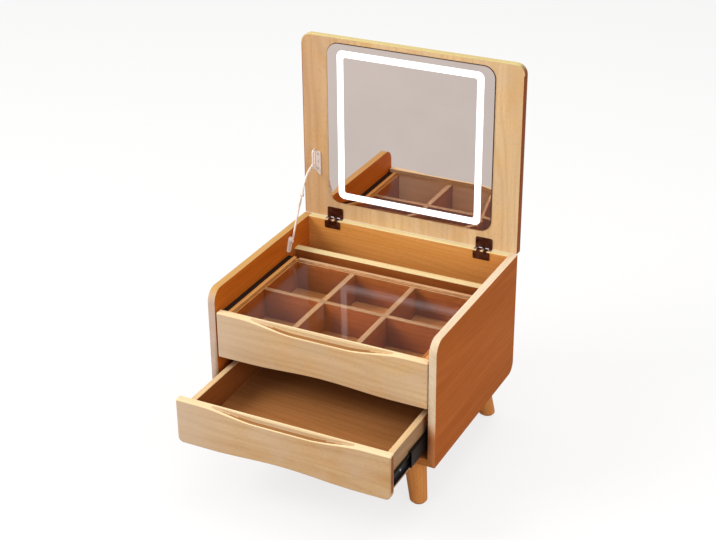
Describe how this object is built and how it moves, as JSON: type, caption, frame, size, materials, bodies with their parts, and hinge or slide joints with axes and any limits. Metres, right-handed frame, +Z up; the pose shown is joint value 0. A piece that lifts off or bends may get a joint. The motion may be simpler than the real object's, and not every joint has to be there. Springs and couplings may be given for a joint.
{
  "type": "flip top vanity table",
  "caption": "Small wooden cabinet on splayed legs with a hinged lid holding a lit mirror, a glass topped tray with dividers, a shelf behind it and a plain drawer below.",
  "frame": {"origin": "centre of the footprint of the rest pose at floor level, lid open and lower drawer drawn out 156 mm", "axes": "+X to the right seen from the front, +Y towards the back, +Z up"},
  "size_m": [0.48, 0.5684, 0.7646],
  "materials": {
    "case_wood": "clear satin lacquer on beech, grain front to back",
    "light_wood": "clear satin lacquer on beech, grain along the longest side",
    "lid_wood": "clear satin lacquer on beech, grain upright",
    "inner_wood": "clear lacquer on beech and plywood",
    "leg_wood": "turned beech, satin lacquer",
    "dowel_wood": "plain fluted beech",
    "felt": "brown felt",
    "pane_glass": "clear float glass with a light brown tint",
    "mirror_silver": "silvered float glass",
    "frosted_glass": "white etched band, lit from behind",
    "led_film": "white flexible strip",
    "battery_film": "blue shrink film",
    "black_steel": "black electrophoretic coat",
    "ball_steel": "polished balls in a steel cage",
    "zinc_steel": "zinc plated",
    "bronze_steel": "antique bronze plating",
    "cream_steel": "cream powder coat"
  },
  "bodies": {
    "case": {"side_left": "case_wood", "side_right": "case_wood", "bottom_board": "light_wood", "back_panel": "inner_wood", "shelf_rail": "light_wood", "shelf_floor": "inner_wood", "leg_front_left": "leg_wood", "leg_front_right": "leg_wood", "leg_rear_left": "leg_wood", "leg_rear_right": "leg_wood", "leg_bolts": "zinc_steel", "foot_pads": "felt", "case_dowels": "dowel_wood", "tray_slide_outer_left": "black_steel", "tray_slide_outer_right": "black_steel", "drawer_slide_outer_left": "black_steel", "drawer_slide_outer_right": "black_steel", "slide_screws_case": "zinc_steel", "hinge_leaves_case": "bronze_steel", "hinge_pins": "bronze_steel", "stay_base": "cream_steel", "wood_screws_case": "bronze_steel"},
    "tray": {"tray_front": "light_wood", "tray_side_left": "light_wood", "tray_side_right": "light_wood", "tray_back": "light_wood", "tray_base": "inner_wood", "tray_divider_left": "light_wood", "tray_divider_right": "light_wood", "tray_cross_divider": "light_wood", "tray_slide_inner_left": "black_steel", "tray_slide_inner_right": "black_steel", "tray_dowels": "dowel_wood", "tray_slide_screws": "zinc_steel"},
    "tray_runners": {"tray_slide_middle_left": "black_steel", "tray_slide_middle_right": "black_steel", "tray_slide_balls": "ball_steel"},
    "glass": {"tray_glass": "pane_glass"},
    "drawer": {"drawer_front": "light_wood", "drawer_side_left": "light_wood", "drawer_side_right": "light_wood", "drawer_back": "light_wood", "drawer_base": "inner_wood", "drawer_slide_inner_left": "black_steel", "drawer_slide_inner_right": "black_steel", "drawer_dowels": "dowel_wood", "drawer_slide_screws": "zinc_steel"},
    "drawer_runners": {"drawer_slide_middle_left": "black_steel", "drawer_slide_middle_right": "black_steel", "drawer_slide_balls": "ball_steel"},
    "lid": {"lid_board": "lid_wood", "mirror_glass": "mirror_silver", "frosted_band": "frosted_glass", "led_strip": "led_film", "battery_pack": "battery_film", "hinge_leaves_lid": "bronze_steel", "stay_lid_bracket": "cream_steel", "wood_screws_lid": "bronze_steel"},
    "stay_lower": {"stay_lower_arm": "cream_steel"},
    "stay_upper": {"stay_upper_arm": "cream_steel"}
  },
  "joints": [
    {"name": "lid_hinge", "type": "hinge", "parent": "case", "child": "lid", "pos_m": [0, 0.26375, 0.365], "axis": [1, 0, 0], "range_deg": [0, 90]},
    {"name": "tray_slide", "type": "slide", "parent": "case", "child": "tray", "axis": [0, -1, 0], "range_m": [0, 0.25]},
    {"name": "tray_runner_slide", "type": "slide", "parent": "case", "child": "tray_runners", "axis": [0, -1, 0], "range_m": [0, 0.125]},
    {"name": "drawer_slide", "type": "slide", "parent": "case", "child": "drawer", "axis": [0, -1, 0], "range_m": [-0.156, 0.174]},
    {"name": "drawer_runner_slide", "type": "slide", "parent": "case", "child": "drawer_runners", "axis": [0, -1, 0], "range_m": [-0.078, 0.087]},
    {"name": "glass_lift", "type": "slide", "parent": "tray", "child": "glass", "axis": [0, 0, 1], "range_m": [0, 0.035]},
    {"name": "stay_lower_pivot", "type": "hinge", "parent": "case", "child": "stay_lower", "pos_m": [-0.22, 0.17175, 0.346], "axis": [1, 0, 0], "range_deg": [0, 130.5]},
    {"name": "stay_elbow", "type": "hinge", "parent": "stay_lower", "child": "stay_upper", "pos_m": [-0.217, 0.21611, 0.43338], "axis": [1, 0, 0], "range_deg": [-141.8, 0]}
  ],
  "couplings": [
    {"joint": "tray_runner_slide", "follows": "tray_slide", "ratio": 0.5},
    {"joint": "drawer_runner_slide", "follows": "drawer_slide", "ratio": 0.5},
    {"joint": "stay_lower_pivot", "follows": "lid_hinge", "ratio": 1.4496},
    {"joint": "stay_elbow", "follows": "lid_hinge", "ratio": -1.5748}
  ]
}
